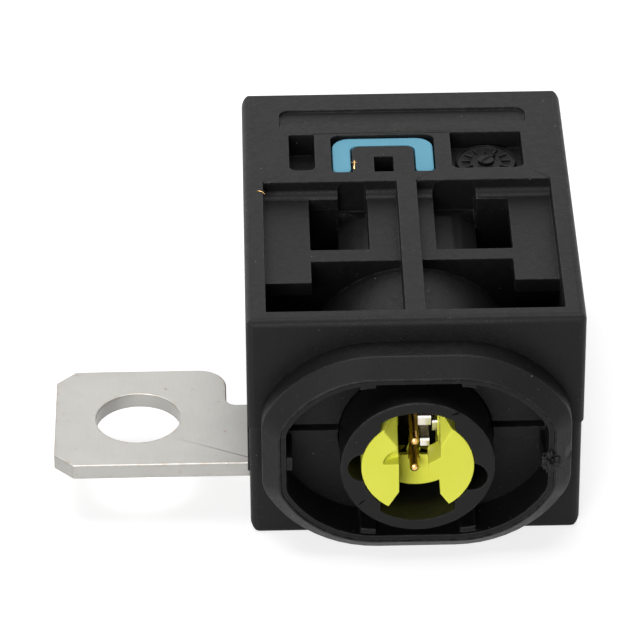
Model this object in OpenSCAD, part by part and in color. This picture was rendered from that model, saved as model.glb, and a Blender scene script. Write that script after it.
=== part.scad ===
// Pyrotechnic fuse: a moulded two-part housing clamps a copper bar, and a small igniter
// drives a piston along a steel barrel to punch a bridge out of that bar.
// +X is right and +Y is away from the connector. The base lies at Z 0.
// The origin is at the middle of the base.

/* [Housing] */
// Width of the housing, left to right
body_w = 36; // [34.5:0.5:42]
// Depth of the housing, connector face to rear face
body_d = 46.6; // [45.5:0.5:54]
// Height of the housing
body_h = 27.6; // [27:0.2:32]
// Height of the parting line between the two housing halves
split_z = 13.8; // [13.2:0.1:14.6]
// Distance that the lower half stands back from the upper one
base_step = 0.2; // [0.05:0.05:0.4]
// Wall thickness of the sides and of the front
wall = 1.9; // [1.5:0.1:2.2]
// Rounding of the upper edges and of the front corners
top_edge_r = 0.9; // [0.5:0.1:1.3]
// Rounding of the two rear corners
rear_corner_r = 1.5; // [1:0.1:2]
// Rounding of the lower edges at the sides and at the rear
base_edge_r = 1.4; // [0.6:0.1:1.8]
// Rounding of the lower front edge and of the upper rear edge
small_edge_r = 0.5; // [0.3:0.1:0.8]
// How far the upper half's left wall reaches below the parting line
skirt_drop = 6.7; // [6:0.1:7.5]

/* [Top wells] */
// Depth of the wells' deck below the top face
deck_depth = 1.9; // [1.4:0.1:2.4]
// Thickness of the deck
deck_t = 1.6; // [1.2:0.1:2]
// Rounding where the deck meets the rear wall of the wells
deck_fillet_r = 0.9; // [0.5:0.1:1.2]
// Width of the rib between the two wells
centre_rib_w = 2.2; // [1.6:0.1:2.8]
// Depth of the deep front part of the wells, front to back
well_front_d = 12.5; // [11:0.5:14]
// Depth of both wells together, front to back
well_d = 25.7; // [25:0.1:26.5]
// Outer radius of the moulded dome over the barrel
dome_r = 11.6; // [11.2:0.1:12]
// Half width of the arched pocket below the windows
pocket_half_w = 7.6; // [7.5:0.1:8]

/* [Locking clip] */
// Outer width of the clip
clip_w = 11.3; // [10.5:0.1:12.5]
// Depth of the clip, front to back
clip_d = 7.5; // [7:0.1:8]
// Width of the clip's legs
clip_leg_w = 2.1; // [1.7:0.1:2.4]
// Width of the clip's rear bar
clip_bar_w = 1.7; // [1.4:0.1:2]
// Height of the clip's frame
clip_h = 2.6; // [2:0.1:3]
// Share of the room between the clip's frame and the bar that its prongs reach into
clip_prong_share = 0.52; // [0.3:0.02:0.7]

/* [Connector] */
// Height of the barrel axis above the base
axis_z = 12.4; // [12.3:0.1:13]
// Half width of the connector shroud
shroud_half_w = 16.5; // [16:0.1:17]
// Half height of the connector shroud
shroud_half_h = 12.35; // [12:0.05:12.35]
// How far the shroud stands out of the front face
shroud_d = 4.5; // [3.8:0.1:6]
// Size of the shroud's bevelled front edge
shroud_bevel = 1.8; // [1.2:0.1:2]
// Wall of the shroud behind the bevel
shroud_wall = 2.6; // [2.4:0.1:2.8]
// Width of the small ribs inside the shroud
shroud_rib_w = 1.7; // [1.2:0.1:2.2]
// Radius of the igniter pocket's outer wall
ring_r = 8.2; // [8:0.1:8.5]
// How far the igniter pocket stands out of the front face
ring_d = 5.5; // [5:0.1:6.5]

/* [Igniter] */
// Radius of the shorting insert
insert_r = 6; // [5.9:0.05:6.2]
// Distance between the two contact pins
pin_pitch = 3.4; // [3.2:0.1:3.6]
// Diameter of a contact pin
pin_d = 1; // [0.8:0.1:1.1]
// Distance that the pins stand to the left of the barrel axis
pin_left = 0.25; // [0:0.05:0.35]
// Radius of the igniter cup
cup_r = 3.6; // [3.2:0.1:4]
// Length of the igniter cup
cup_l = 6.6; // [5.5:0.1:7]

/* [Barrel] */
// Radius of the barrel bore, in which the piston runs
barrel_bore_r = 5.6; // [5.3:0.1:5.8]
// Wall of the barrel
barrel_wall = 1.2; // [1:0.1:1.25]
// Distance from the front face to the barrel's shoulder
shoulder_d = 12.8; // [11:0.1:14]
// Share of the room between cup and bar that the piston fills, without its punch
piston_share = 0.6; // [0.5:0.01:0.65]
// Clearance between pieces that fit into each other
fit_gap = 0.1; // [0.06:0.01:0.14]

/* [Busbar] */
// Thickness of the copper bar
bar_t = 1.8; // [1.5:0.1:2]
// Place of the bar's upright plate, as a share of the housing's depth
plate_share = 0.652; // [0.64:0.002:0.665]
// Height of the bar's upper face where it leaves the housing
bar_top_z = 8; // [7.8:0.1:8.3]
// Width of each terminal lug
lug_w = 17.9; // [16:0.1:20]
// Length of the wide part of each lug
lug_l = 18.7; // [16:0.1:22]
// Radius of the hole in each lug
lug_hole_r = 4.6; // [3.5:0.1:5]
// Width of the neck between lug and housing
neck_w = 11.1; // [10:0.1:11.5]
// Width of the bridge that the punch breaks out
bridge_w = 5.2; // [4:0.1:6]

/* [Hidden] */
$fn = 64;

// Places along Y, measured from the front face and then moved to the row's frame
front_y = -body_d / 2;
function from_front(d) = front_y + d;
well_front_y = from_front(wall);
well_rear_y = from_front(wall + well_d);
web_y = from_front(wall + well_front_d);
web_t = 1.2;
rear_y = body_d / 2;
// Places along X and Z
well_half_w = body_w / 2 - 2.2;
deck_z = body_h - deck_depth;
skirt_z = split_z - skirt_drop;
dome_z = axis_z + 0.6;
cavity_floor_y = from_front(0.7);

// The barrel and what stands in its line
ring_front_y = from_front(-ring_d);
flange_y = from_front(2.5);
flange_t = 2.6;
flange_r = 9.3;
barrel_y = flange_y + flange_t;
shoulder_y = from_front(shoulder_d);
barrel_outer_r = barrel_bore_r + barrel_wall;
plate_y = from_front(body_d * plate_share);
barrel_end_y = plate_y;
anvil_y = plate_y + bar_t;
anvil_end_y = rear_y - wall - 2;
header_y = barrel_y + 1.6;
header_t = 2.6;
cup_y = header_y + header_t;
cup_end_y = cup_y + cup_l;
piston_y = cup_end_y + 0.6;
piston_r = barrel_bore_r - 0.06;
piston_end_y = piston_y + (plate_y - piston_y) * piston_share;
punch_w = 7.2;
punch_end_y = plate_y - 0.3;
pin_tip_y = ring_front_y + 2.1;

// The bar: the left strip lies flat, the plate stands across the barrel, the right strip
// lies flat and leaves at the rear
bar_z = bar_top_z - bar_t;
strip_left_x = -body_w / 2 + wall + 0.1;
strip_left_w = 5.6;
strip_right_w = 8.4;
strip_right_x = body_w / 2 - wall - 0.1 - strip_right_w;
plate_top_z = axis_z + 4.6;
plate_low_z = axis_z - 4.6;
lug_front_y = from_front(2.1);

// The two half circles of a shape that is widest at its middle, drawn as one closed outline
function arc(cx, cz, r, a0, a1, steps) =
    [for (i = [0 : steps]) let (a = a0 + (a1 - a0) * i / steps) [cx + r * cos(a), cz + r * sin(a)]];

// The shroud's outline: each quarter is a long arc above a short one, tangent to each other
shroud_long_r = 13.4;
shroud_short_r = 5;
shroud_long_x = 4.2;
function shroud_quarter(inset) =
    let (cx1 = shroud_long_x,
         cz1 = shroud_half_h - shroud_long_r,
         cx2 = shroud_half_w - shroud_short_r,
         cz2 = cz1 + sqrt(pow(shroud_long_r - shroud_short_r, 2) - pow(cx2 - cx1, 2)),
         turn = atan2(cz2 - cz1, cx2 - cx1))
    concat(arc(cx2, cz2, shroud_short_r - inset, 0, turn, 6),
           arc(cx1, cz1, shroud_long_r - inset, turn, 90, 10));
function reversed(list) = [for (i = [len(list) - 1 : -1 : 0]) list[i]];
function shroud_outline(inset) =
    let (q = shroud_quarter(inset))
    concat(q,
           [for (p = reversed(q)) [-p[0], p[1]]],
           [for (p = q) [-p[0], -p[1]]],
           [for (p = reversed(q)) [p[0], -p[1]]]);

// A box given by its lowest and highest corners
module span(low, high) {
    translate(low) cube(high - low);
}

// A rectangle with its lower left corner at the origin and a radius for each corner:
// lower left, lower right, upper right, upper left
module cornered(w, h, radii) {
    corners = [[0, 0, 1, 1], [w, 0, -1, 1], [w, h, -1, -1], [0, h, 1, -1]];
    difference() {
        square([w, h]);
        for (i = [0 : 3]) {
            c = corners[i];
            r = radii[i];
            if (r > 0) translate([c[0], c[1]]) mirror([c[2] < 0 ? 1 : 0, 0]) mirror([0, c[3] < 0 ? 1 : 0])
                difference() {
                    translate([-1, -1]) square(r + 1);
                    translate([r, r]) circle(r);
                }
        }
    }
}

// The housing's outer block, with every side face moved in by an inset
module outer_block(inset) {
    w = body_w - 2 * inset;
    d = body_d - 2 * inset;
    intersection() {
        translate([-w / 2, -d / 2, 0]) linear_extrude(body_h)
            cornered(w, d, [top_edge_r, top_edge_r, rear_corner_r, rear_corner_r]);
        translate([-w / 2, d / 2, 0]) rotate([90, 0, 0]) linear_extrude(d)
            cornered(w, body_h, [base_edge_r, base_edge_r, top_edge_r, top_edge_r]);
        translate([-w / 2, -d / 2, 0]) rotate([90, 0, 90]) linear_extrude(w)
            cornered(d, body_h, [small_edge_r, base_edge_r, small_edge_r, top_edge_r]);
    }
}

// A cylinder along Y on the barrel axis, or at another height
module along_y(y0, y1, r, z = axis_z) {
    translate([0, y0, z]) rotate([-90, 0, 0]) cylinder(h = y1 - y0, r = r);
}

// The bore through both halves for the igniter pocket, the barrel and the anvil
module barrel_bore() {
    along_y(front_y - 1, flange_y + 1, ring_r + fit_gap);
    along_y(flange_y, shoulder_y, flange_r + fit_gap);
    along_y(shoulder_y - 1, anvil_end_y, barrel_outer_r + fit_gap);
}

// The groove in the front face that the shroud's rear edge sits in
tongue_d = 0.7;
tongue_t = 1;
module shroud_groove() {
    translate([0, from_front(tongue_d), axis_z]) rotate([90, 0, 0]) linear_extrude(tongue_d + 1)
        polygon(shroud_outline(shroud_wall - tongue_t - fit_gap));
}

// Room for the bar in both halves
module bar_room() {
    g = fit_gap;
    span([-body_w / 2 + wall, plate_y, bar_z],
         [body_w / 2 - wall, plate_y + bar_t, plate_top_z + g]);
    span([strip_right_x - g, plate_y, bar_z], [body_w / 2 - wall, rear_y - wall, bar_top_z + g]);
    span([body_w / 2 - wall - neck_w - g, rear_y - wall - 1.6, bar_z],
         [body_w / 2 - wall, rear_y + 1, bar_top_z + g]);
}

// The side chambers that the windows open into, cut down to a floor height
module side_chambers(left_floor, right_floor, ceiling) {
    for (side = [-1, 1]) {
        floor_z = side < 0 ? left_floor : right_floor;
        x_in = pocket_half_w;
        x_out = well_half_w;
        span([side < 0 ? -x_out : x_in, web_y + web_t, floor_z],
             [side < 0 ? -x_in : x_out, well_rear_y - 0.6, ceiling]);
        difference() {
            span([side < 0 ? -x_out : 0, well_front_y, floor_z],
                 [side < 0 ? 0 : x_out, web_y, ceiling]);
            along_y(front_y, rear_y, dome_r, dome_z);
            along_y(front_y, rear_y, flange_r + wall, axis_z);
        }
    }
}

// One window in the deck, given by its two X edges and its two distances from the front
module window(x0, x1, d0, d1) {
    span([x0, from_front(d0), deck_z - deck_t - 0.5], [x1, from_front(d1), body_h]);
}

// An arched notch through the rear wall of a well, into the pocket behind it. A thin roof
// cuts off the top of the arch.
module arched_notch(x0, x1, centre_drop) {
    r = (x1 - x0) / 2;
    roof_t = 0.3;
    centre_z = body_h - centre_drop;
    translate([(x0 + x1) / 2, from_front(26.4), 0]) intersection() {
        union() {
            translate([0, 0, centre_z]) rotate([-90, 0, 0]) cylinder(h = 2, r = r);
            span([-r, 0, deck_z - deck_t - 1], [r, 2, centre_z]);
        }
        span([-r - 1, -1, deck_z - deck_t - 2], [r + 1, 3, body_h - roof_t]);
    }
}

// Openings in the deck: windows, arched notches and the pocket with the dome as its floor
tab_y = from_front(10.2);
left_tab_x = -10.8;
right_tab_x = 11;
pocket_rear_y = from_front(28.4);
module wells() {
    for (side = [-1, 1]) {
        x0 = side < 0 ? -well_half_w : centre_rib_w / 2;
        x1 = side < 0 ? -centre_rib_w / 2 : well_half_w;
        difference() {
            span([x0, well_front_y, deck_z], [x1, well_rear_y, body_h + 1]);
            deck_fillet(x0, x1);
        }
    }
    // The deep front part, around the two tabs of the deck
    difference() {
        for (side = [-1, 1])
            span([side < 0 ? -well_half_w : centre_rib_w / 2, well_front_y, split_z - 1],
                 [side < 0 ? -centre_rib_w / 2 : well_half_w, web_y, body_h]);
        along_y(front_y, rear_y, dome_r, dome_z);
        span([-well_half_w - 1, tab_y, deck_z - deck_t], [left_tab_x, web_y, deck_z]);
        span([right_tab_x, tab_y, deck_z - deck_t], [well_half_w + 1, web_y, deck_z]);
    }
    window(-10.8, -4.4, 16.7, 26.9);
    window(2.9, 11.1, 16.5, 26.6);
    arched_notch(-7.55, -4.5, 1.3);
    arched_notch(2.9, pocket_half_w, 1.75);
    difference() {
        span([-pocket_half_w, web_y + web_t, dome_z], [pocket_half_w, pocket_rear_y, deck_z - deck_t]);
        pocket_floor();
    }
}

// The hollow rounding between the deck and the rear wall of a well
module deck_fillet(x0, x1) {
    r = deck_fillet_r;
    translate([x0 - 1, well_rear_y - r, deck_z]) difference() {
        translate([0, 0, -1]) cube([x1 - x0 + 2, r + 1, r + 1]);
        translate([-1, 0, r]) rotate([0, 90, 0]) cylinder(h = x1 - x0 + 4, r = r);
    }
}

// The dome that shows through the windows, rising in a hollow curve to its rear wall
module pocket_floor() {
    r = 1.2;
    along_y(front_y, rear_y, dome_r, dome_z);
    translate([0, pocket_rear_y - r, dome_z]) rotate([-90, 0, 0]) rotate_extrude()
        difference() {
            translate([dome_r - 1, 0]) square([r + 1, r]);
            translate([dome_r + r, 0]) circle(r);
        }
}

// Pockets in the rear part of the top face
clip_x = -2.4;
clip_front_y = from_front(29.7);
pocket_y0 = from_front(30.1);
pocket_y1 = from_front(37.6);
module sloped_pocket(x0, x1, low, high) {
    intersection() {
        translate([x0, 0, 0]) rotate([90, 0, 90]) linear_extrude(x1 - x0) polygon([
            [pocket_y0, body_h + 1],
            [pocket_y0, body_h - high],
            [pocket_y1 - 1.2, body_h - low],
            [pocket_y1, body_h - low],
            [pocket_y1, body_h + 1]]);
        translate([x0, pocket_y0, body_h - 5]) linear_extrude(6)
            cornered(x1 - x0, pocket_y1 - pocket_y0, [0.8, 0.8, 0.3, 0.3]);
    }
}

// How far the clip and its tongue lie below the top face
clip_sink = 0.3;
// Place and depth of its prongs behind its front end
clip_prong_y = clip_front_y + 1.6;
clip_prong_d = 2;
// One prong of the clip, or the room for it when it grows by a gap
module clip_prong(side, grow) {
    x = clip_x + side * (clip_w - clip_leg_w) / 2;
    frame_low_z = body_h - clip_sink - clip_h;
    prong_l = (frame_low_z - plate_top_z) * clip_prong_share;
    span([x - clip_leg_w / 2 - grow, clip_prong_y - grow, frame_low_z - prong_l - 3 * grow],
         [x + clip_leg_w / 2 + grow, clip_prong_y + clip_prong_d + grow, frame_low_z + clip_h / 2]);
}

module clip_room() {
    g = fit_gap;
    difference() {
        translate([clip_x - clip_w / 2 - g, clip_front_y - g, body_h - clip_sink - clip_h])
            linear_extrude(clip_h + 2)
            cornered(clip_w + 2 * g, clip_d + 2 * g, [0.6, 0.6, 1, 1]);
        clip_tongue();
    }
    for (side = [-1, 1])
        clip_prong(side, g);
}

// The tongue that the clip closes round, with its square hole
module clip_tongue() {
    g = fit_gap;
    x0 = clip_x - clip_w / 2 + clip_leg_w + g;
    x1 = clip_x + clip_w / 2 - clip_leg_w - g;
    difference() {
        translate([x0, clip_front_y - 1, 0]) linear_extrude(body_h - clip_sink)
            cornered(x1 - x0, clip_d - clip_bar_w - g + 1, [0, 0, 1, 1]);
        span([clip_x - 1, clip_front_y + 0.3, body_h - 4], [clip_x + 1.1, clip_front_y + 3.5, body_h]);
    }
}

// The shallow recess at the rear of the top face, which runs out towards the front
module rear_recess() {
    depth = 0.4;
    recess_w = body_w - 8.4;
    d0 = 38.2;
    d1 = 42.9;
    intersection() {
        translate([-recess_w / 2, from_front(d0), body_h - 1]) linear_extrude(3)
            cornered(recess_w, d1 - d0, [0, 0, 1.2, 1.2]);
        translate([-body_w / 2, 0, 0]) rotate([90, 0, 90]) linear_extrude(body_w) polygon([
            [from_front(d0), body_h],
            [from_front(d0 + 2.4), body_h - depth],
            [from_front(d1), body_h - depth],
            [from_front(d1), body_h + 1],
            [from_front(d0), body_h + 1]]);
    }
}

// The dial in the right pocket: a raised rim, a hub with a pointer and twelve marks
dial_x = 9.1;
dial_y = from_front(33.8);
dial_r = 3.4;
module date_dial() {
    difference() {
        translate([dial_x, dial_y, 0]) {
            difference() {
                cylinder(h = body_h - 1.55, r = dial_r);
                translate([0, 0, body_h - 1.7]) cylinder(h = 1, r = dial_r - 0.25);
            }
            cylinder(h = body_h - 1.5, r = 0.9);
            for (a = [0 : 30 : 330]) rotate(a)
                span([1.7, -0.12, body_h - 3], [2.7, 0.12, body_h - 1.55]);
            rotate(45) span([-0.8, -0.14, body_h - 3], [1.4, 0.14, body_h - 1.4]);
        }
        span([dial_x - 5, dial_y - 6, 0], [dial_x + 5, pocket_y0, body_h]);
    }
}

// Pegs that stand on the lower half and enter sockets in the upper one
peg_r = 1.3;
peg_h = 3;
module pegs(r, z0, z1) {
    for (x = [-1, 1])
        translate([x * (body_w / 2 - 4.2), rear_y - wall - 4.2, z0]) cylinder(h = z1 - z0, r = r);
}

module housing_top() {
    color("#2c2c2e") difference() {
        union() {
            intersection() {
                outer_block(0);
                span([-body_w, -body_d, split_z], [body_w, body_d, body_h + 1]);
            }
            intersection() {
                outer_block(0);
                skirt(0);
            }
        }
        wells();
        side_chambers(split_z - 1, split_z - 1, deck_z - deck_t);
        barrel_bore();
        bar_room();
        shroud_groove();
        rear_recess();
        difference() {
            union() {
                sloped_pocket(-12.8, -10, 2.8, 1.6);
                sloped_pocket(5.2, 13.1, 2.2, 1.7);
            }
            date_dial();
        }
        clip_room();
        pegs(peg_r + fit_gap, split_z - 1, split_z + peg_h + 0.3);
    }
}

// The left wall of the upper half where it reaches down to the terminal
skirt_end_y = lug_front_y + neck_w + 1.6;
module skirt(grow) {
    x_in = -body_w / 2 + wall;
    difference() {
        span([-body_w, well_front_y, skirt_z], [x_in, skirt_end_y, split_z + 0.01]);
        if (grow == 0)
            span([-body_w, lug_front_y - fit_gap, skirt_z - 1],
                 [x_in + 1, lug_front_y + neck_w + fit_gap, bar_top_z]);
    }
}

module housing_base() {
    floor_z = 2;
    color("#262628") difference() {
        union() {
            intersection() {
                outer_block(base_step);
                span([-body_w, -body_d, 0], [body_w, body_d, split_z]);
            }
            pegs(peg_r, split_z - 1, split_z + peg_h);
        }
        skirt(1);
        difference() {
            side_chambers(bar_z, floor_z, split_z + 1);
            along_y(shoulder_y, rear_y, barrel_outer_r + 1.1);
        }
        barrel_bore();
        bar_room();
        shroud_groove();
        // The terminal's way in through the left wall, and the strip's way back to the plate
        span([-body_w, lug_front_y - fit_gap, bar_z],
             [strip_left_x + 1, lug_front_y + neck_w + fit_gap, split_z]);
        span([strip_left_x - fit_gap, well_front_y, bar_z],
             [strip_left_x + strip_left_w + fit_gap, plate_y + 1, bar_top_z + 2]);
        // The ledge below the parting line, inside the shroud
        translate([0, from_front(1), axis_z]) rotate([90, 0, 0]) linear_extrude(1)
            intersection() {
                polygon(shroud_outline(shroud_wall + 0.1));
                translate([-body_w / 2, split_z - axis_z - 2]) square([body_w, 4]);
            }
    }
}

module connector_shroud() {
    rib_in = 0.65;
    rib_back = 0.5;
    step_w = 0.6;
    step_d = 0.15;
    color("#2a2a2c") difference() {
        translate([0, front_y, axis_z]) rotate([90, 0, 0]) {
            difference() {
                union() {
                    linear_extrude(shroud_d - shroud_bevel) polygon(shroud_outline(0));
                    hull() {
                        translate([0, 0, shroud_d - shroud_bevel - 0.01]) linear_extrude(0.01)
                            polygon(shroud_outline(0));
                        translate([0, 0, shroud_d - 0.01]) linear_extrude(0.01)
                            polygon(shroud_outline(shroud_bevel));
                    }
                    translate([0, 0, -tongue_d]) linear_extrude(tongue_d + 1)
                        polygon(shroud_outline(shroud_wall - tongue_t));
                }
                translate([0, 0, -tongue_d - 1]) linear_extrude(shroud_d + tongue_d + 2)
                    polygon(shroud_outline(shroud_wall));
                // The shallow step round the mouth
                translate([0, 0, shroud_d - step_d]) linear_extrude(1)
                    polygon(shroud_outline(shroud_wall - step_w));
            }
            intersection() {
                translate([0, 0, -tongue_d]) linear_extrude(shroud_d + tongue_d - rib_back)
                    difference() {
                        polygon(shroud_outline(shroud_wall - 0.5));
                        polygon(shroud_outline(shroud_wall + rib_in));
                    }
                union() {
                    for (x = [-5.2, 5.5])
                        span([x - shroud_rib_w / 2, -20, -5], [x + shroud_rib_w / 2, 20, 10]);
                    span([-20, -shroud_rib_w / 2 - 0.4, -5], [20, shroud_rib_w / 2 - 0.4, 10]);
                }
            }
        }
        // The shroud's foot never reaches below the base
        span([-body_w, -body_d, -5], [body_w, body_d, 0]);
    }
}

// The mouth of the igniter pocket: a round hole with two lobes and two keyways
module pocket_mouth(gap) {
    circle(insert_r + gap);
    intersection() {
        circle(insert_r + 0.85 + gap);
        square([7.8 + 2 * gap, 20], center = true);
    }
    translate([-5.7, 0]) circle(1.65 + gap);
    translate([5.7, -1.4]) circle(1.65 + gap);
}

pocket_floor_y = from_front(4.4);
module igniter_pocket() {
    chamfer = 0.1;
    color("#303032") difference() {
        translate([0, 0, axis_z]) rotate([-90, 0, 0]) rotate_extrude() polygon([
            [0, ring_front_y],
            [ring_r - chamfer, ring_front_y],
            [ring_r, ring_front_y + chamfer],
            [ring_r, flange_y],
            [flange_r, flange_y],
            [flange_r, barrel_y],
            [0, barrel_y]]);
        translate([0, pocket_floor_y, axis_z]) rotate([90, 0, 0])
            linear_extrude(pocket_floor_y - ring_front_y + 1) pocket_mouth(0.05);
        for (side = [-1, 1]) translate([-pin_left, pocket_floor_y - 1, axis_z + side * pin_pitch / 2])
            rotate([-90, 0, 0]) cylinder(h = 5, d = pin_d + 2 * fit_gap);
    }
}

// The lime insert: two cheeks beside a slot, joined by a web that the pins pass through.
// Points of its outline are places across and above the barrel axis.
web_front_y = ring_front_y + 4.4;
insert_front_y = ring_front_y + 0.05;
web_wall = 1.3;
slot_left = -1.95;
slot_right = 2.4;
slot_high = 2.4;
module insert_slot() {
    difference() {
        square(20, center = true);
        polygon([[slot_left - 0.15, slot_high], [slot_left, 0.35], [slot_left, -3.3], [-3.25, -5.45],
                 [-3.3, -7], [-8, -7], [-8, 7], [slot_left - 0.15, 7]]);
        polygon([[slot_right, 1.1], [1.15, 0.35], [1.15, -0.6], [1.9, -1.6], [slot_right - 0.1, -1.75],
                 [slot_right, -3.6], [3.6, -5.35], [3.7, -7], [8, -7], [8, 7], [slot_right, 7]]);
    }
}

// The lead-in at the top of a cheek, which slopes back towards the slot
lead_in_d = 2.6;
module lead_in(slot_x, side) {
    crest = [side * 3.55, 4.5];
    translate([0, insert_front_y, axis_z]) rotate([90, 0, 0]) hull() {
        translate([0, 0, 0.01]) linear_extrude(1) polygon([
            [slot_x, slot_high],
            crest,
            [crest[0], 8],
            [slot_x - side * 0.5, 8],
            [slot_x - side * 0.5, slot_high]]);
        translate([0, 0, -lead_in_d]) linear_extrude(0.1) polygon([
            [slot_x, slot_high + 2.6],
            [slot_x, 8],
            [slot_x - side * 0.5, 8],
            [slot_x - side * 0.5, slot_high + 2.6]]);
    }
}

module shorting_insert() {
    color("#dee35a") difference() {
        along_y(insert_front_y, pocket_floor_y, insert_r);
        translate([0, web_front_y, axis_z]) rotate([90, 0, 0])
            linear_extrude(web_front_y - insert_front_y + 1) insert_slot();
        lead_in(slot_left - 0.15, -1);
        lead_in(slot_right, 1);
        // The scoop in the left cheek, with its level floor
        intersection() {
            translate([slot_left, insert_front_y - 0.3, axis_z + 0.35]) sphere(r = 1.75);
            span([-10, front_y - 10, axis_z + 0.35], [10, front_y + 10, axis_z + 10]);
        }
        // The slot above the web and behind it, for the pins and the spring
        span([slot_left - 0.1, web_front_y - 1, axis_z - 1.35],
             [slot_right - 0.1, pocket_floor_y + 1, axis_z + insert_r + 1]);
        span([slot_left - 0.1, web_front_y + web_wall, axis_z - insert_r + 2],
             [slot_right - 0.1, pocket_floor_y + 1, axis_z]);
        translate([-pin_left, web_front_y - 1, axis_z - pin_pitch / 2]) rotate([-90, 0, 0])
            cylinder(h = 20, d = pin_d + 2 * fit_gap);
    }
}

// The shorting spring: one stamped strip, seated in the insert's slot beside the pins,
// with two arms whose front ends turn down
spring_t = 0.25;
spring_seat_y = pocket_floor_y - 0.1;
module spring_arm(x0, x1, high, front, lip) {
    bend_r = 0.45;
    translate([x0, 0, axis_z]) rotate([90, 0, 90]) linear_extrude(x1 - x0) difference() {
        translate([front, high - lip]) cornered(spring_seat_y - front, lip, [0, 0, 0, bend_r]);
        translate([front + spring_t, high - lip - 1])
            cornered(spring_seat_y - front, lip + 1 - spring_t, [0, 0, 0, bend_r - spring_t]);
    }
}

module shorting_spring() {
    wide_x = slot_right - 0.13;
    spring_x = pin_d / 2 + 0.12 - pin_left;
    color("#c8c4b6") union() {
        spring_arm(0.15, 1.55, 3.75, web_front_y - 0.1, 1.3);
        spring_arm(spring_x, 1.35, 1.5, web_front_y - 1.15, 1);
        spring_arm(1.7, wide_x, 2.9, web_front_y + 0.2, 1.4);
        // The base that the arms branch from
        span([spring_x, spring_seat_y - spring_t, axis_z + 0.4],
             [wide_x, spring_seat_y, axis_z + 3.75]);
    }
}

module contact_pin(z) {
    tip_r = pin_d / 2;
    tip_l = 0.35;
    color("#c9903a") translate([-pin_left, pin_tip_y, z]) rotate([-90, 0, 0]) rotate_extrude()
        polygon(concat([[0, 0]],
            [for (a = [25 : 13 : 90]) [tip_r * sin(a), tip_l * (1 - cos(a))]],
            [[tip_r, header_y - pin_tip_y], [0, header_y - pin_tip_y]]));
}

module upper_contact_pin() {
    contact_pin(axis_z + pin_pitch / 2);
}

module lower_contact_pin() {
    contact_pin(axis_z - pin_pitch / 2);
}

// The header: a steel disc with a rim, through which the pins enter the cup
module igniter_header() {
    rim_t = 1.4;
    color("#9c9fa3") translate([0, 0, axis_z]) rotate([-90, 0, 0]) rotate_extrude() polygon([
        [0, header_y],
        [barrel_bore_r - fit_gap, header_y],
        [barrel_bore_r - fit_gap, header_y + rim_t],
        [cup_r, header_y + rim_t],
        [cup_r, cup_y],
        [0, cup_y]]);
}

module igniter_cup() {
    color("#b9bcc0") translate([0, 0, axis_z]) rotate([-90, 0, 0]) rotate_extrude() polygon([
        [0, cup_y],
        [cup_r, cup_y],
        [cup_r, cup_end_y - 0.5],
        [cup_r - 0.5, cup_end_y],
        [0, cup_end_y]]);
}

// The rubber ring between the pocket's flange and the header
seal_cord_r = 0.75;
module igniter_seal() {
    color("#1c1c1c") translate([0, barrel_y + 0.8, axis_z]) rotate([-90, 0, 0]) rotate_extrude()
        translate([barrel_bore_r - 0.9, 0]) circle(seal_cord_r);
}

module barrel() {
    color("#8f9296") translate([0, 0, axis_z]) rotate([-90, 0, 0]) rotate_extrude() polygon([
        [barrel_bore_r, barrel_y],
        [flange_r, barrel_y],
        [flange_r, shoulder_y],
        [barrel_outer_r, shoulder_y],
        [barrel_outer_r, barrel_end_y],
        [barrel_bore_r, barrel_end_y]]);
}

// The piston: a cup-backed slug with a groove for its seal and a flat punch in front
groove_y = piston_y + 2.2;
groove_w = 1.7;
groove_d = 1.1;
module piston() {
    skirt_l = 1.5;
    color("#6d6f73") union() {
        translate([0, 0, axis_z]) rotate([-90, 0, 0]) rotate_extrude() polygon([
            [0, piston_y + skirt_l],
            [piston_r - 2, piston_y + skirt_l],
            [piston_r - 1.2, piston_y],
            [piston_r, piston_y],
            [piston_r, groove_y],
            [piston_r - groove_d, groove_y],
            [piston_r - groove_d, groove_y + groove_w],
            [piston_r, groove_y + groove_w],
            [piston_r, piston_end_y - 0.5],
            [piston_r - 0.5, piston_end_y],
            [0, piston_end_y]]);
        intersection() {
            along_y(piston_end_y - 1, punch_end_y, piston_r - 0.4);
            span([-punch_w / 2, piston_end_y - 1, axis_z - 10], [punch_w / 2, punch_end_y, axis_z + 10]);
        }
    }
}

module piston_seal() {
    r = groove_w / 2 - 0.2;
    color("#1c1c1c") translate([0, groove_y + groove_w / 2, axis_z]) rotate([-90, 0, 0]) rotate_extrude()
        translate([piston_r - groove_d + r + 0.02, 0]) intersection() {
            circle(r);
            translate([-2 * r, -2 * r]) square([r + groove_d - 0.03, 4 * r]);
        }
}

// One lug's outline: its neck runs along the outer edge, and three corners are cut
module lug_outline() {
    cut = 2.1;
    round_r = 3.1;
    difference() {
        union() {
            difference() {
                square([lug_l, lug_w]);
                translate([lug_l - round_r, lug_w - round_r]) difference() {
                    square(round_r + 1);
                    circle(round_r);
                }
            }
            translate([lug_l - 1, 0]) square([lug_gap + wall + 1.2, neck_w]);
            translate([lug_l, neck_w]) difference() {
                translate([-1, -0.1]) square([1 + neck_fillet_r, neck_fillet_r + 0.1]);
                translate([neck_fillet_r, neck_fillet_r]) circle(neck_fillet_r);
            }
        }
        polygon([[-1, -1], [cut + 0.5, -1], [cut, 0], [0, cut], [-1, cut + 0.5]]);
        polygon([
            [-1, lug_w - cut - 1],
            [0, lug_w - cut],
            [cut, lug_w],
            [cut + 1, lug_w + 1],
            [-1, lug_w + 1]]);
        translate([lug_hole_x, lug_hole_y]) circle(lug_hole_r);
    }
}
lug_gap = 2.25;
neck_fillet_r = 1.1;
lug_hole_x = lug_l / 2 - 0.3;
lug_hole_y = lug_w / 2 - 0.1;
lug_x = -body_w / 2 - lug_gap - lug_l;
rear_lug_y = rear_y + lug_gap + lug_l;

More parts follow.
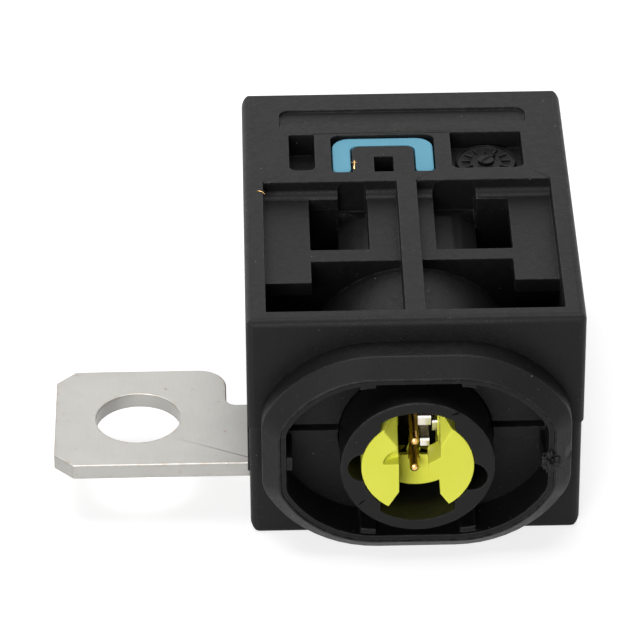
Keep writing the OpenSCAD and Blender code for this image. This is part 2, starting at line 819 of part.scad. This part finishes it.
module busbar() {
    color("#c9c9c6") difference() {
        union() {
            // The left terminal and the strip that runs back beside the barrel
            translate([lug_x, lug_front_y, bar_z]) linear_extrude(bar_t) lug_outline();
            span([strip_left_x, lug_front_y + 0.2, bar_z],
                 [strip_left_x + strip_left_w, plate_y + bar_t, bar_top_z]);
            // The plate that stands across the barrel, with its two feet
            span([strip_left_x, plate_y, bar_z], [strip_left_x + strip_left_w, plate_y + bar_t, plate_top_z]);
            span([strip_left_x, plate_y, plate_low_z],
                 [strip_right_x + strip_right_w, plate_y + bar_t, plate_top_z]);
            span([strip_right_x, plate_y, bar_z],
                 [strip_right_x + strip_right_w, plate_y + bar_t, plate_top_z]);
            // The strip to the rear terminal, and that terminal
            span([strip_right_x, plate_y, bar_z],
                 [strip_right_x + strip_right_w, rear_y - 1, bar_top_z]);
            translate([strip_right_x + strip_right_w, rear_lug_y, bar_z]) rotate(-90)
                mirror([0, 1, 0]) linear_extrude(bar_t) lug_outline();
        }
        // The notches that leave a weak bridge in front of the punch
        for (side = [-1, 1], edge = [-1, 1])
            translate([side * (punch_w / 2 + 0.5), plate_y - 1, axis_z + edge * (bridge_w / 2 + 3)])
                rotate([-90, 0, 0]) span([-0.6, -3, 0], [0.6, 3, bar_t + 2]);
    }
}

// The anvil: a plastic block that holds the bar against the barrel and takes the cut piece
module anvil() {
    g = 0.15;
    color("#3a3a3c") difference() {
        along_y(anvil_y, anvil_end_y, barrel_outer_r);
        span([-punch_w / 2 - g, anvil_y - 1, axis_z - barrel_bore_r],
             [punch_w / 2 + g, anvil_end_y - 2, axis_z + barrel_bore_r]);
    }
}

// The clip seen from above: two legs with round ends and a bar that joins them
module clip_outline() {
    r = clip_leg_w / 2;
    translate([clip_x - clip_w / 2, clip_front_y]) {
        difference() {
            translate([0, r]) cornered(clip_w, clip_d - r, [0, 0, 2, 2]);
            translate([clip_leg_w, r - 1])
                cornered(clip_w - 2 * clip_leg_w, clip_d - r - clip_bar_w + 1, [0, 0, 0.9, 0.9]);
        }
        for (x = [r, clip_w - r])
            translate([x, r]) circle(r);
    }
}

module locking_clip() {
    color("#5aa8c4") union() {
        translate([0, 0, body_h - clip_sink - clip_h]) linear_extrude(clip_h) clip_outline();
        for (side = [-1, 1])
            clip_prong(side, 0);
    }
}

housing_top();
housing_base();
connector_shroud();
igniter_pocket();
shorting_insert();
shorting_spring();
upper_contact_pin();
lower_contact_pin();
igniter_header();
igniter_cup();
igniter_seal();
barrel();
piston();
piston_seal();
busbar();
anvil();
locking_clip();
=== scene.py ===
import math

import bmesh
import bpy
from mathutils import Matrix, Vector, noise


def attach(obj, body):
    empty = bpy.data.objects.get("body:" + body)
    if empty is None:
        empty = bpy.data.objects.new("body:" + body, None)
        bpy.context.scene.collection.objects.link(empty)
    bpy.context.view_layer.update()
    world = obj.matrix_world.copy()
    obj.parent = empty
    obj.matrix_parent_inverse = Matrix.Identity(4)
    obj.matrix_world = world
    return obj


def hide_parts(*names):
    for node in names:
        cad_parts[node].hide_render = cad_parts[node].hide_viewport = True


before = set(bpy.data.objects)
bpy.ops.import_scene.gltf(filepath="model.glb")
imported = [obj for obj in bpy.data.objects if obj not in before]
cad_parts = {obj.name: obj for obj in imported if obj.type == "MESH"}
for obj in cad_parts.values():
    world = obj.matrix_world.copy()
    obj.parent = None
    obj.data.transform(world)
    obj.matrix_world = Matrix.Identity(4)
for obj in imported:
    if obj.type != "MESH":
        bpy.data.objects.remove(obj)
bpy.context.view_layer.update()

MM = 0.001

# --- Camera ---
# The photograph was taken from 34 degrees above, almost straight ahead of the connector,
# with a long lens. The lens and the place come from the edges of the housing.
camera_data = bpy.data.cameras.new("photo_camera")
camera_data.sensor_width = 36
camera_data.lens = 259.30
camera_data.clip_start = 0.02
camera_data.clip_end = 20
camera = bpy.data.objects.new("photo_camera", camera_data)
bpy.context.collection.objects.link(camera)
turn_side, tilt_down, roll = math.radians(1.092), math.radians(33.647), math.radians(-0.412)
forward = Vector((math.sin(turn_side) * math.cos(tilt_down), math.cos(turn_side) * math.cos(tilt_down),
                  -math.sin(tilt_down)))
level_right = Vector((math.cos(turn_side), -math.sin(turn_side), 0))
level_up = level_right.cross(forward)
right = level_right * math.cos(roll) + level_up * math.sin(roll)
up = level_up * math.cos(roll) - level_right * math.sin(roll)
turned = Matrix((right, up, -forward)).transposed().to_4x4()
camera.matrix_world = Matrix.Translation((-0.017835, -0.426345, 0.296001)) @ turned
bpy.context.scene.camera = camera
bpy.context.scene.view_settings.view_transform = "Standard"

# --- Floor, backdrop and studio light ---
# The part stands on a white studio floor under one large soft light, with a weaker one from the front left.
# For the light it throws back onto the part, the floor carries painted shade in front. The world is the white
# of the studio's walls.
def node(tree, kind, links=(), **settings):
    """A shader node, with its settings, and its inputs set or linked by name or number."""
    n = tree.nodes.new(kind)
    for key, value in settings.items():
        setattr(n, key, value)
    for key, value in dict(links).items():
        if isinstance(value, bpy.types.NodeSocket):
            tree.links.new(value, n.inputs[key])
        else:
            n.inputs[key].default_value = value
    return n


def fresh_material(name):
    """An empty node material and its output node."""
    material = bpy.data.materials.new(name)
    material.use_nodes = True
    material.node_tree.nodes.clear()
    return material, material.node_tree, material.node_tree.nodes.new("ShaderNodeOutputMaterial")


def seen_or_mirrored(tree):
    """1 for what the camera sees directly or in a shiny surface, and 0 for the light on the part."""
    path = node(tree, "ShaderNodeLightPath")
    mirrored = node(tree, "ShaderNodeMath", {0: path.outputs["Is Glossy Ray"],
                                             1: path.outputs["Is Transmission Ray"]}, operation="MAXIMUM")
    return node(tree, "ShaderNodeMath", {0: path.outputs["Is Camera Ray"], 1: mirrored.outputs[0]},
                operation="MAXIMUM").outputs[0]


floor_material, tree, output = fresh_material("studio_floor")
place = node(tree, "ShaderNodeTexCoord").outputs["Object"]
grain = node(tree, "ShaderNodeTexNoise", {"Vector": place, "Scale": 90.0, "Detail": 3.0})
tone = node(tree, "ShaderNodeMapRange", {"Value": grain.outputs["Fac"], "To Min": 0.49, "To Max": 0.51})
paper = node(tree, "ShaderNodeBsdfDiffuse", {"Color": tone.outputs["Result"]})
lift = node(tree, "ShaderNodeEmission", {"Color": (1, 1, 1, 1), "Strength": 0.72})
seen = node(tree, "ShaderNodeAddShader", {0: paper.outputs[0], 1: lift.outputs[0]})
spot = node(tree, "ShaderNodeSeparateXYZ", {0: place})
# Painted shade in the floor's bounce colour: it fades to nearly black from 26 to 47 mm in front of the part,
# except far left where it stays 0.8. Camera and mirror rays still see the floor white.
ahead = node(tree, "ShaderNodeMapRange", {"Value": spot.outputs["Y"], "From Min": -0.047,
                                          "From Max": -0.026, "To Min": 0.04, "To Max": 0.80})
beside = node(tree, "ShaderNodeMapRange", {"Value": spot.outputs["X"], "From Min": -0.027,
                                           "From Max": -0.037, "To Min": 0.0, "To Max": 0.80})
painted_shade_bounce = node(tree, "ShaderNodeMath", {0: ahead.outputs["Result"], 1: beside.outputs["Result"]},
           operation="MAXIMUM")
around = node(tree, "ShaderNodeBsdfDiffuse", {"Color": painted_shade_bounce.outputs[0]})
mixed = node(tree, "ShaderNodeMixShader", {0: seen_or_mirrored(tree), 1: around.outputs[0],
                                           2: seen.outputs[0]})
tree.links.new(mixed.outputs[0], output.inputs["Surface"])
floor_mesh = bpy.data.meshes.new("studio_floor")
floor_mesh.from_pydata([(-3, -3, 0), (3, -3, 0), (3, 3, 0), (-3, 3, 0)], [], [(0, 1, 2, 3)])
floor_mesh.materials.append(floor_material)
floor = bpy.data.objects.new("studio_floor", floor_mesh)
bpy.context.collection.objects.link(floor)

world = bpy.data.worlds.new("studio")
bpy.context.scene.world = world
world.use_nodes = True
tree = world.node_tree
tree.nodes.clear()
walls = node(tree, "ShaderNodeBackground", {"Color": (1, 1, 1, 1), "Strength": 0.06})
white = node(tree, "ShaderNodeBackground", {"Color": (1, 1, 1, 1), "Strength": 1.0})
mixed = node(tree, "ShaderNodeMixShader", {0: seen_or_mirrored(tree), 1: walls.outputs[0],
                                           2: white.outputs[0]})
output = node(tree, "ShaderNodeOutputWorld", {"Surface": mixed.outputs[0]})

for name, place, aim, size, watts in [
        ("back_wall", (-0.10, 0.80, 0.60), (0, 0, 0.02), 1.0, 1.0),
        ("overhead_softbox", (-0.10, 0.10, 0.95), (0, 0, 0.01), 0.7, 7.0),
        ("front_softbox", (-0.35, -1.10, 0.36), (0, 0, 0.015), 0.6, 10.5),
        ("left_reflector", (-0.90, 0.45, 0.35), (0, 0, 0.02), 0.6, 2.2)]:
    lamp = bpy.data.lights.new(name, "AREA")
    lamp.shape = "SQUARE"
    lamp.size = size
    lamp.energy = watts
    holder = bpy.data.objects.new(name, lamp)
    bpy.context.collection.objects.link(holder)
    holder.location = place
    holder.rotation_euler = (Vector(aim) - Vector(place)).to_track_quat("-Z", "Y").to_euler()

# --- Upper housing half ---
# Black glass-filled plastic, injection moulded in one shot with open wells on top where
# the mould's core kept the walls thin. It is pressed onto the lower half's two pegs.
def smooth_between_flats(mesh, limit=34):
    """Corner normals: a flat region keeps its own, and a rounding runs from one flat to the next."""
    b = bmesh.new()
    b.from_mesh(mesh)
    b.faces.ensure_lookup_table()
    region = [-1] * len(b.faces)
    area = []
    for seed in b.faces:
        if region[seed.index] >= 0:
            continue
        region[seed.index], stack, total = len(area), [seed], 0.0
        while stack:
            face = stack.pop()
            total += face.calc_area()
            for edge in face.edges:
                for other in edge.link_faces:
                    if region[other.index] < 0 and other.normal.dot(face.normal) > 0.99999:
                        region[other.index] = len(area)
                        stack.append(other)
        area.append(total)
    near = math.cos(math.radians(limit))
    normals = []
    for face in b.faces:
        facing = face.normal
        if 2 * face.calc_area() < 0.00002 * max(e.calc_length() for e in face.edges):
            # A sliver takes the direction of the largest flat beside it
            beside = [g for e in face.edges for g in e.link_faces if g is not face]
            facing = max(beside, key=lambda g: area[region[g.index]]).normal if beside else facing
        for vert in face.verts:
            found = {region[g.index]: g.normal for g in vert.link_faces if g.normal.dot(facing) > near}
            total = sum((n * area[r] ** 2 for r, n in found.items()), Vector())
            normals.append(total.normalized() if total.length > 0 else facing.copy())
    b.free()
    mesh.normals_split_custom_set(normals)


def rounded_copy(node_name, name, edge, angle=32, reshape=None, extra=None, sliver=0.000005):
    """A copy of a solid's mesh whose sharp edges are rounded as a mould or a tumbler leaves them."""
    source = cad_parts[node_name]
    mesh = source.data.copy()
    mesh.name = name
    mesh.materials.clear()
    copy = bpy.data.objects.new(name, mesh)
    bpy.context.collection.objects.link(copy)
    b = bmesh.new()
    b.from_mesh(mesh)
    bmesh.ops.remove_doubles(b, verts=b.verts, dist=0.000002)
    bmesh.ops.dissolve_degenerate(b, edges=b.edges, dist=0.000002)
    if reshape:
        reshape(b)
    # A sliver's normal can't be trusted, so its edges aren't rounded
    rounding = b.edges.layers.float.new("bevel_weight_edge")
    for line in b.edges:
        if len(line.link_faces) == 2 and line.calc_face_angle(0) > math.radians(angle):
            thin = min(2 * f.calc_area() / max(e.calc_length() for e in f.edges) for f in line.link_faces)
            line[rounding] = 1.0 if thin > sliver else 0.0
    b.to_mesh(mesh)
    b.free()
    mesh.shade_smooth()
    bevel = copy.modifiers.new("edge", "BEVEL")
    bevel.width = edge
    bevel.segments = 2
    bevel.limit_method = "WEIGHT"
    bevel.use_clamp_overlap = False
    bevel.loop_slide = False
    bevel.miter_outer = "MITER_ARC"
    evaluated = copy.evaluated_get(bpy.context.evaluated_depsgraph_get())
    rounded = bpy.data.meshes.new_from_object(evaluated, depsgraph=bpy.context.evaluated_depsgraph_get())
    copy.modifiers.clear()
    copy.data = rounded
    rounded.name = name
    if extra:
        b = bmesh.new()
        b.from_mesh(rounded)
        extra(b)
        b.to_mesh(rounded)
        b.free()
    smooth_between_flats(rounded)
    return copy


def edge_band(tree, radius, least, most):
    """1 beside the edges and 0 on the flats, broken up as wear is. On plastic it places wear and painted
    highlight, on metal stains.
    """
    place = node(tree, "ShaderNodeTexCoord").outputs["Object"]
    rounded = node(tree, "ShaderNodeBevel", {"Radius": radius}, samples=4)
    facing = node(tree, "ShaderNodeVectorMath", {0: rounded.outputs[0],
                                                 1: node(tree, "ShaderNodeNewGeometry").outputs["Normal"]},
                  operation="DOT_PRODUCT")
    band = node(tree, "ShaderNodeMapRange", {"Value": facing.outputs["Value"], "From Min": 0.995,
                                             "From Max": 0.90})
    breaks = node(tree, "ShaderNodeTexNoise", {"Vector": place, "Scale": 900.0, "Detail": 5.0,
                                               "Roughness": 0.7})
    kept = node(tree, "ShaderNodeMapRange", {"Value": breaks.outputs["Fac"], "From Min": 0.42,
                                             "From Max": 0.68, "To Min": least, "To Max": most})
    return node(tree, "ShaderNodeMath", {0: band.outputs["Result"], 1: kept.outputs["Result"]},
                operation="MULTIPLY").outputs[0]


def moulded_plastic(name, dark, light, roughness, specks=0.0, grain_depth=0.35, wear_and_highlight=None, dents=()):
    """Moulded plastic: slow colour drift, mould grain, pale specks of dust and painted glints, edges
    lightened by wear and painted highlight, and dents in millimetres.
    """
    material, tree, output = fresh_material(name)
    place = node(tree, "ShaderNodeTexCoord").outputs["Object"]
    drift = node(tree, "ShaderNodeTexNoise", {"Vector": place, "Scale": 140.0, "Detail": 4.0})
    flow = node(tree, "ShaderNodeMapRange", {"Value": drift.outputs["Fac"], "From Min": 0.3, "From Max": 0.7})
    colour = node(tree, "ShaderNodeMix", {0: flow.outputs["Result"], 6: dark, 7: light}, data_type="RGBA")
    colour_out = colour.outputs[2]
    if specks:
        # Pale specks: partly dust, partly painted glints
        for size, reach, pale in [(600.0, 0.036, 0.42), (1050.0, 0.085, 0.045)]:
            speck_cells = node(tree, "ShaderNodeTexVoronoi", {"Vector": place, "Scale": size})
            near = node(tree, "ShaderNodeMapRange", {"Value": speck_cells.outputs["Distance"], "From Min": reach / 2,
                                                     "From Max": reach, "To Min": specks, "To Max": 0.0})
            dust_and_glint = node(tree, "ShaderNodeMix", {0: near.outputs["Result"], 6: colour_out,
                                                 7: (pale, pale, pale, 1)}, data_type="RGBA")
            colour_out = dust_and_glint.outputs[2]
    # Edges and hollow fillets take a lighter colour: partly edge wear, partly painted highlight
    if wear_and_highlight:
        rubbed_and_highlit = node(tree, "ShaderNodeMix", {0: edge_band(tree, 0.00035, 0.0, 0.8), 6: colour_out, 7: wear_and_highlight},
                      data_type="RGBA")
        colour_out = rubbed_and_highlit.outputs[2]
    shine = node(tree, "ShaderNodeTexNoise", {"Vector": place, "Scale": 1400.0, "Detail": 5.0})
    rough = node(tree, "ShaderNodeMapRange", {"Value": shine.outputs["Fac"], "From Min": 0.3, "From Max": 0.7,
                                              "To Min": roughness - 0.06, "To Max": roughness + 0.06})
    fine = node(tree, "ShaderNodeTexNoise", {"Vector": place, "Scale": 5200.0, "Detail": 2.0})
    bump = node(tree, "ShaderNodeBump", {"Height": fine.outputs["Fac"], "Strength": grain_depth,
                                         "Distance": 0.00006})
    for centre, radius, depth in dents:
        away = node(tree, "ShaderNodeVectorMath", {0: place, 1: tuple(c * MM for c in centre)},
                    operation="DISTANCE")
        bowl = node(tree, "ShaderNodeMapRange", {"Value": away.outputs["Value"], "From Min": 0.0,
                                                 "From Max": radius * MM}, interpolation_type="SMOOTHSTEP")
        bump = node(tree, "ShaderNodeBump", {"Height": bowl.outputs["Result"], "Strength": 1.0,
                                             "Distance": depth * MM, "Normal": bump.outputs["Normal"]})
    shader = node(tree, "ShaderNodeBsdfPrincipled", {"Base Color": colour_out,
                                                     "Roughness": rough.outputs["Result"],
                                                     "Specular IOR Level": 0.17,
                                                     "Normal": bump.outputs["Normal"]})
    tree.links.new(shader.outputs[0], output.inputs["Surface"])
    return material


# The lighter grey on its edges is partly wear, partly painted highlight
black_plastic = moulded_plastic("black_glass_filled_plastic", (0.0042, 0.0042, 0.0047, 1),
                                (0.0056, 0.0056, 0.0062, 1), 0.47, specks=0.8,
                                grain_depth=0.6, wear_and_highlight=(0.045, 0.045, 0.046, 1))
def raised_dial(b):
    """The mould's dial in the right pocket, with its marks cut as deep as the photograph shows."""
    dial_x, dial_y, dial_r, dial_floor, deeper = 9.1, 10.5, 3.2, 25.9, 2.2
    for vert in b.verts:
        x, y, z = vert.co / MM
        if math.hypot(x - dial_x, y - dial_y) < dial_r and abs(z - dial_floor) < 0.3:
            vert.co.z = (dial_floor + (z - dial_floor) * deeper) * MM


upper_half = rounded_copy("housing_top", "upper_half", 0.12 * MM, reshape=raised_dial)
upper_half.data.materials.append(black_plastic)
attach(upper_half, "root")
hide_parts("housing_top")

# --- Lower housing half ---
# The same black plastic, stepped in a little below the parting line. It carries the
# barrel, the bar and the anvil, and its two pegs enter the upper half.
def seam_inside_collar(b):
    """Inside the collar the lip below the parting line lies nearly level, under a dark open seam."""
    face_y, lip_y, lip_low, seam_z, seam = -23.3, -22.3, 11.8, 13.8, 0.5
    for vert in b.verts:
        x, y, z = vert.co / MM
        if abs(y - lip_y) < 0.03 and lip_low - 0.1 < z < seam_z + 0.1 and abs(x) < 15.5:
            vert.co.y = (face_y + 0.35) * MM
            if z > seam_z - 0.1:
                vert.co.z -= seam * MM


lower_half = rounded_copy("housing_base", "lower_half", 0.12 * MM, reshape=seam_inside_collar)
lower_half.data.materials.append(black_plastic)
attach(lower_half, "root")
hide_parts("housing_base")

# --- Connector shroud ---
# A bevelled collar of black plastic round the igniter pocket. Its tongue is welded into
# the groove in the front face, and small ribs inside it guide the plug.
def torn_rib(b):
    """The right-hand rib's front end, crushed into a ragged lump by a plug pushed in askew."""
    middle, reach = Vector((14.25, -27.9, 12.0)) * MM, Vector((0.80, 0.50, 0.98)) * MM
    for vert in bmesh.ops.create_icosphere(b, subdivisions=4, radius=1.0)["verts"]:
        ragged = 1 + 0.7 * noise.noise(vert.co * 2.3) + 0.7 * noise.noise(vert.co * 6.5)
        vert.co = middle + Vector(a * s for a, s in zip(vert.co * ragged, reach))


# The lighter grey on its edges is partly wear, partly painted highlight
collar_plastic = moulded_plastic("collar_plastic", (0.0042, 0.0042, 0.0047, 1), (0.0056, 0.0056, 0.0062, 1),
                                 0.47, specks=0.8, grain_depth=0.6, wear_and_highlight=(0.045, 0.045, 0.046, 1),
                                 dents=[((16.4, -26.0, 12.3), 1.1, 0.35), ((14.9, -28.8, 10.9), 0.5, 0.15)])
shroud_collar = rounded_copy("connector_shroud", "shroud_collar", 0.15 * MM, angle=28, extra=torn_rib)
shroud_collar.data.materials.append(collar_plastic)
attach(shroud_collar, "root")
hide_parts("connector_shroud")

# --- Igniter pocket ---
# The round socket that holds the igniter: black plastic, turned smooth in the mould,
# with two keyways. Its flange is caught between the housing and the barrel.
# The lighter grey on its edges is partly wear, partly painted highlight
socket_plastic = moulded_plastic("socket_plastic", (0.0035, 0.0035, 0.0034, 1), (0.0060, 0.0060, 0.0058, 1),
                                 0.42, specks=0.5, wear_and_highlight=(0.04, 0.04, 0.038, 1))
pocket_ring = rounded_copy("igniter_pocket", "pocket_ring", 0.12 * MM)
pocket_ring.data.materials.append(socket_plastic)
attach(pocket_ring, "root")
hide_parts("igniter_pocket")


def thread_piece(name, threads, thick, material):
    """One piece of thin bent threads, each a list of points in millimetres."""
    b = bmesh.new()
    for points in threads:
        rings = []
        for step, point in enumerate(points):
            width = thick * (1.0 if 0 < step < len(points) - 1 else 0.45)
            rings.append([b.verts.new((Vector(point) + Vector((x, 0, z)) * width) * MM)
                          for x, z in [(-0.5, -0.5), (0.5, -0.5), (0.5, 0.5), (-0.5, 0.5)]])
        for low, high in zip(rings, rings[1:]):
            for i in range(4):
                b.faces.new((low[i], low[(i + 1) % 4], high[(i + 1) % 4], high[i]))
        b.faces.new(rings[0])
        b.faces.new(rings[-1])
    bmesh.ops.recalc_face_normals(b, faces=b.faces)
    mesh = bpy.data.meshes.new(name)
    b.to_mesh(mesh)
    b.free()
    mesh.materials.append(material)
    piece = bpy.data.objects.new(name, mesh)
    bpy.context.collection.objects.link(piece)
    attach(piece, "root")
    return piece


# Slivers of flash on the ring's front edge, left by the mould. Their pale grey is painted highlight, brighter
# than the black plastic would shine.
flash_highlight_plastic = moulded_plastic("flash_highlight_plastic", (0.10, 0.10, 0.10, 1), (0.22, 0.22, 0.21, 1), 0.5)
flash_slivers = thread_piece("flash_slivers", [
    [(3.5, -28.85, 19.05), (3.9, -28.85, 19.15), (4.3, -28.85, 19.4), (4.5, -28.85, 19.45)],
    [(4.0, -28.83, 19.1), (4.6, -28.83, 19.1)],
    [(-6.3, -28.85, 7.6), (-6.0, -28.85, 7.9), (-5.6, -28.85, 8.2)]], 0.07, flash_highlight_plastic)

# --- Shorting insert ---
# The lime yellow carrier of the shorting spring: glossy unfilled plastic, snapped into
# the pocket round the two pins.
lime_plastic = moulded_plastic("lime_plastic", (0.83, 0.85, 0.085, 1), (0.89, 0.91, 0.115, 1), 0.36,
                               grain_depth=0.12)
def sink_web(b):
    """The web between the cheeks: its top falls away to the rear, and its lower lip is cut back."""
    axis, web_y = 12.4, -28.8 + 4.4
    for vert in b.verts:
        x, y, z = vert.co / MM
        if abs(y - web_y - 1.3) < 0.06 and abs(z - axis + 1.35) < 0.06 and -2.1 < x < 2.35:
            vert.co.z -= 0.85 * MM
        if abs(y - web_y) < 0.06 and z < axis - 5 and math.hypot(x, z - axis) > 5.85 and -2.1 < x < 2.6:
            vert.co.z += 0.6 * MM


lime_insert = rounded_copy("shorting_insert", "lime_insert", 0.14 * MM, reshape=sink_web)
lime_insert.data.materials.append(lime_plastic)
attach(lime_insert, "root")
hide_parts("shorting_insert")

# --- Locking clip ---
# A teal blue plastic U that is pushed down round the tongue and locks the two halves.
blue_plastic = moulded_plastic("blue_plastic", (0.115, 0.335, 0.455, 1), (0.135, 0.38, 0.51, 1), 0.42,
                               grain_depth=0.2)
clip_frame = rounded_copy("locking_clip", "clip_frame", 0.30 * MM)
clip_frame.data.materials.append(blue_plastic)
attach(clip_frame, "root")
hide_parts("locking_clip")

# --- Busbar ---
# One strip of tin-plated copper, 1.8 mm thick, punched and bent: a terminal on the left,
# a plate across the barrel and a terminal at the rear. The housing clamps it.
def rolled_metal(name, colour, roughness, scratch_turn=0.0, stained=None):
    """Plated sheet metal with faint rolling lines, patches, and stains beside its cut edges."""
    material, tree, output = fresh_material(name)
    place = node(tree, "ShaderNodeTexCoord").outputs["Object"]
    turned = node(tree, "ShaderNodeMapping", {"Vector": place, "Rotation": (0, 0, scratch_turn),
                                              "Scale": (6, 1, 6)})
    lines = node(tree, "ShaderNodeTexNoise", {"Vector": turned.outputs[0], "Scale": 420.0, "Detail": 5.0})
    stain = node(tree, "ShaderNodeTexNoise", {"Vector": place, "Scale": 160.0, "Detail": 6.0,
                                              "Roughness": 0.65})
    patch = node(tree, "ShaderNodeMapRange", {"Value": stain.outputs["Fac"], "From Min": 0.42,
                                              "From Max": 0.7})
    dull = tuple(c * 0.92 for c in colour[:3]) + (1,)
    tone = node(tree, "ShaderNodeMix", {0: patch.outputs["Result"], 6: colour, 7: dull}, data_type="RGBA")
    if stained:
        tone = node(tree, "ShaderNodeMix", {0: edge_band(tree, 0.0007, -0.1, 1.0), 6: tone.outputs[2],
                                            7: stained}, data_type="RGBA")
        pits = node(tree, "ShaderNodeTexNoise", {"Vector": place, "Scale": 1100.0, "Detail": 4.0,
                                                 "Roughness": 0.6})
        spot = node(tree, "ShaderNodeMapRange", {"Value": pits.outputs["Fac"], "From Min": 0.665,
                                                 "From Max": 0.74, "To Max": 0.75})
        tone = node(tree, "ShaderNodeMix", {0: spot.outputs["Result"], 6: tone.outputs[2], 7: stained},
                    data_type="RGBA")
    rough = node(tree, "ShaderNodeMapRange", {"Value": lines.outputs["Fac"], "From Min": 0.3,
                                              "From Max": 0.7, "To Min": roughness - 0.04,
                                              "To Max": roughness + 0.05})
    bump = node(tree, "ShaderNodeBump", {"Height": lines.outputs["Fac"], "Strength": 0.12,
                                         "Distance": 0.00001})
    shader = node(tree, "ShaderNodeBsdfPrincipled", {"Base Color": tone.outputs[2], "Metallic": 1.0,
                                                     "Roughness": rough.outputs["Result"],
                                                     "Normal": bump.outputs["Normal"]})
    tree.links.new(shader.outputs[0], output.inputs["Surface"])
    return material


tinned_copper = rolled_metal("tinned_copper", (0.40, 0.395, 0.375, 1), 0.44,
                             stained=(0.30, 0.22, 0.15, 1))
copper_bar = rounded_copy("busbar", "copper_bar", 0.16 * MM, sliver=0.00002)
copper_bar.data.materials.append(tinned_copper)
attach(copper_bar, "root")
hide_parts("busbar")

# --- Pins and shorting spring ---
# Two gold-plated pins, 3.4 mm apart, and the stamped spring that joins them until the
# plug is in.
gold = rolled_metal("gold_plate", (0.80, 0.50, 0.19, 1), 0.24)
for pin in ["upper_contact_pin", "lower_contact_pin"]:
    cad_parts[pin].data.materials.clear()
    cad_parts[pin].data.materials.append(gold)
# Two bright threads of the pins' plating, caught in the clip and on the left rim
brass_swarf = thread_piece("brass_swarf", [
    [(-5.68, 7.2, 27.2), (-5.64, 7.7, 27.4), (-5.6, 8.3, 27.5), (-5.62, 8.8, 27.5)],
    [(-5.9, 8.35, 27.45), (-5.65, 8.4, 27.5), (-5.3, 8.35, 27.5)],
    [(-16.75, 2.65, 27.58), (-16.3, 2.55, 27.6), (-15.9, 2.4, 27.55), (-15.6, 2.2, 27.4)],
    [(-16.1, 2.55, 27.58), (-15.65, 2.7, 27.5)]], 0.12, gold)
spring_metal = rolled_metal("spring_metal", (0.74, 0.70, 0.62, 1), 0.22)
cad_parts["shorting_spring"].data.materials.clear()
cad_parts["shorting_spring"].data.materials.append(spring_metal)

# --- Inner works ---
# Closed in the housing: header and cup of the igniter, its rubber seal, the turned steel
# barrel, the plastic piston with its ring, and the anvil that takes the cut piece.
turned_steel = rolled_metal("turned_steel", (0.46, 0.47, 0.48, 1), 0.32)
inner_plastic = moulded_plastic("inner_plastic", (0.045, 0.045, 0.047, 1), (0.06, 0.06, 0.062, 1), 0.5)
seal_rubber = moulded_plastic("seal_rubber", (0.018, 0.018, 0.018, 1), (0.024, 0.024, 0.024, 1), 0.7)
for names, material in [(["igniter_header", "igniter_cup", "barrel"], turned_steel),
                        (["piston", "anvil"], inner_plastic),
                        (["igniter_seal", "piston_seal"], seal_rubber)]:
    for inner in names:
        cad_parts[inner].data.materials.clear()
        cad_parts[inner].data.materials.append(material)
